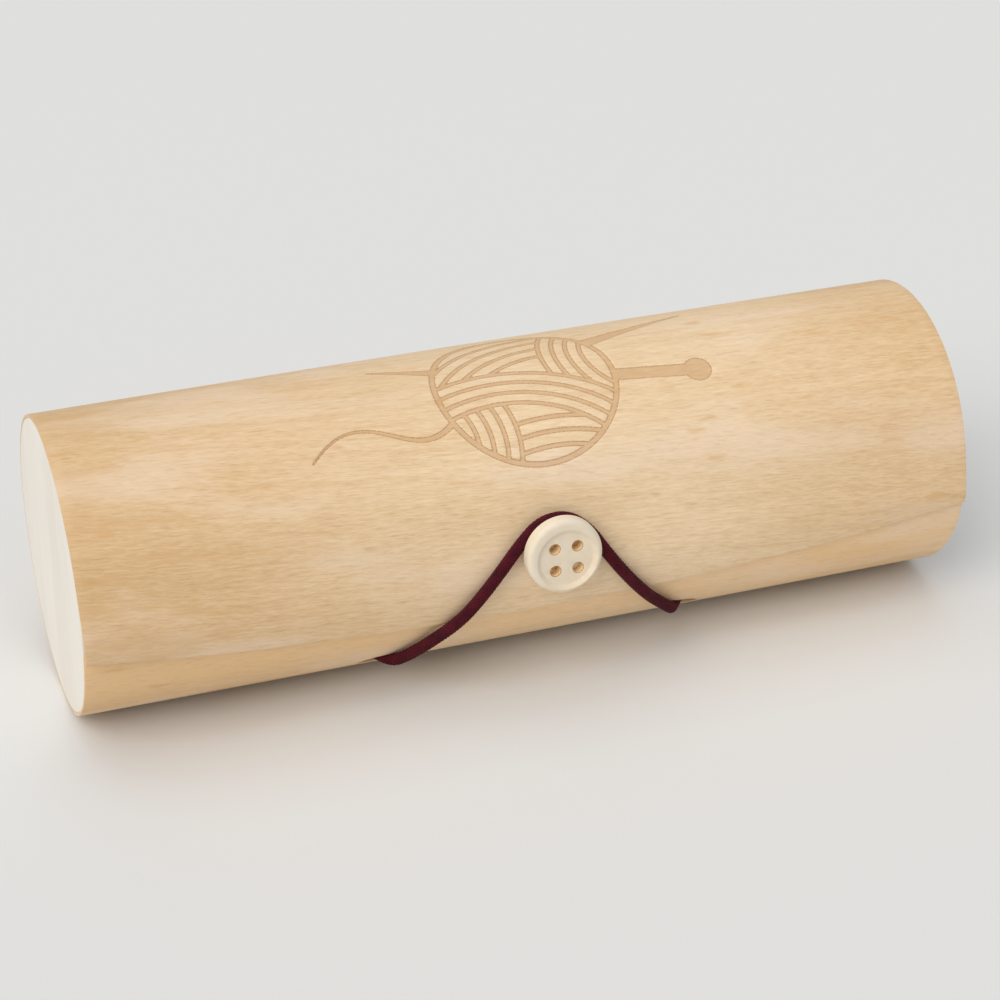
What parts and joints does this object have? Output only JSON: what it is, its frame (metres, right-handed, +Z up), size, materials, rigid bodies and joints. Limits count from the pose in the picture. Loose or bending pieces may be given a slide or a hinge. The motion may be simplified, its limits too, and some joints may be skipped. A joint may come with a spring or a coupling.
{
  "type": "knitting needle case",
  "caption": "Round case of bent wood veneer with solid end discs, a springy overlapping lid, and a button held by a loop of elastic cord.",
  "frame": {"origin": "centre of the left end disc's outer face, on the case's axis", "axes": "+X along the case to the right end, +Z up, the button faces -Y"},
  "size_m": [0.213, 0.0779, 0.0698],
  "materials": {
    "veneer": "bare rotary-cut veneer, fine grain along the case",
    "disc_wood": "bare pale wood, sanded",
    "button_wood": "bare pale wood, turned and smooth",
    "elastic": "braided elastic cord, dull sheen"
  },
  "bodies": {
    "case": {"left_end_disc": "disc_wood", "right_end_disc": "disc_wood", "case_veneer": "veneer", "left_elastic_knot": "elastic", "right_elastic_knot": "elastic"},
    "lid_1": {"lid_strip_1": "veneer"},
    "lid_2": {"lid_strip_2": "veneer"},
    "lid_3": {"lid_strip_3": "veneer"},
    "lid_4": {"lid_strip_4": "veneer"},
    "lid_5": {"lid_strip_5": "veneer"},
    "lid_6": {"lid_strip_6": "veneer"},
    "lid_front": {"lid_front": "veneer", "button_post": "button_wood", "button": "button_wood"},
    "loop": {"elastic_loop": "elastic"}
  },
  "joints": [
    {"name": "lid_open", "type": "hinge", "parent": "case", "child": "lid_1", "pos_m": [0.1065, 0.03381, 0.00906], "axis": [-1, 0, 0], "range_deg": [0, 32], "stiffness_Nm_per_rad": 0.05},
    {"name": "lid_bend_2", "type": "hinge", "parent": "lid_1", "child": "lid_2", "pos_m": [0.1065, 0.02681, 0.0225], "axis": [-1, 0, 0], "range_deg": [0, 27.93]},
    {"name": "lid_bend_3", "type": "hinge", "parent": "lid_2", "child": "lid_3", "pos_m": [0.1065, 0.01479, 0.03172], "axis": [-1, 0, 0], "range_deg": [0, 23.36]},
    {"name": "lid_bend_4", "type": "hinge", "parent": "lid_3", "child": "lid_4", "pos_m": [0.1065, 0, 0.035], "axis": [-1, 0, 0], "range_deg": [0, 18.79]},
    {"name": "lid_bend_5", "type": "hinge", "parent": "lid_4", "child": "lid_5", "pos_m": [0.1065, -0.01311, 0.03245], "axis": [-1, 0, 0], "range_deg": [0, 14.21]},
    {"name": "lid_bend_6", "type": "hinge", "parent": "lid_5", "child": "lid_6", "pos_m": [0.1065, -0.02431, 0.02518], "axis": [-1, 0, 0], "range_deg": [0, 9.64]},
    {"name": "lid_bend_7", "type": "hinge", "parent": "lid_6", "child": "lid_front", "pos_m": [0.1065, -0.03197, 0.01424], "axis": [-1, 0, 0], "range_deg": [0, 5.07]},
    {"name": "loop_swing", "type": "hinge", "parent": "case", "child": "loop", "pos_m": [0.1065, -0.02334, -0.02417], "axis": [1, 0, 0], "range_deg": [0, 80], "deforming": ["elastic_loop"]}
  ],
  "couplings": [
    {"joint": "lid_bend_2", "follows": "lid_open", "ratio": 0.8571},
    {"joint": "lid_bend_3", "follows": "lid_open", "ratio": 0.7143},
    {"joint": "lid_bend_4", "follows": "lid_open", "ratio": 0.5714},
    {"joint": "lid_bend_5", "follows": "lid_open", "ratio": 0.4286},
    {"joint": "lid_bend_6", "follows": "lid_open", "ratio": 0.2857},
    {"joint": "lid_bend_7", "follows": "lid_open", "ratio": 0.1429}
  ]
}
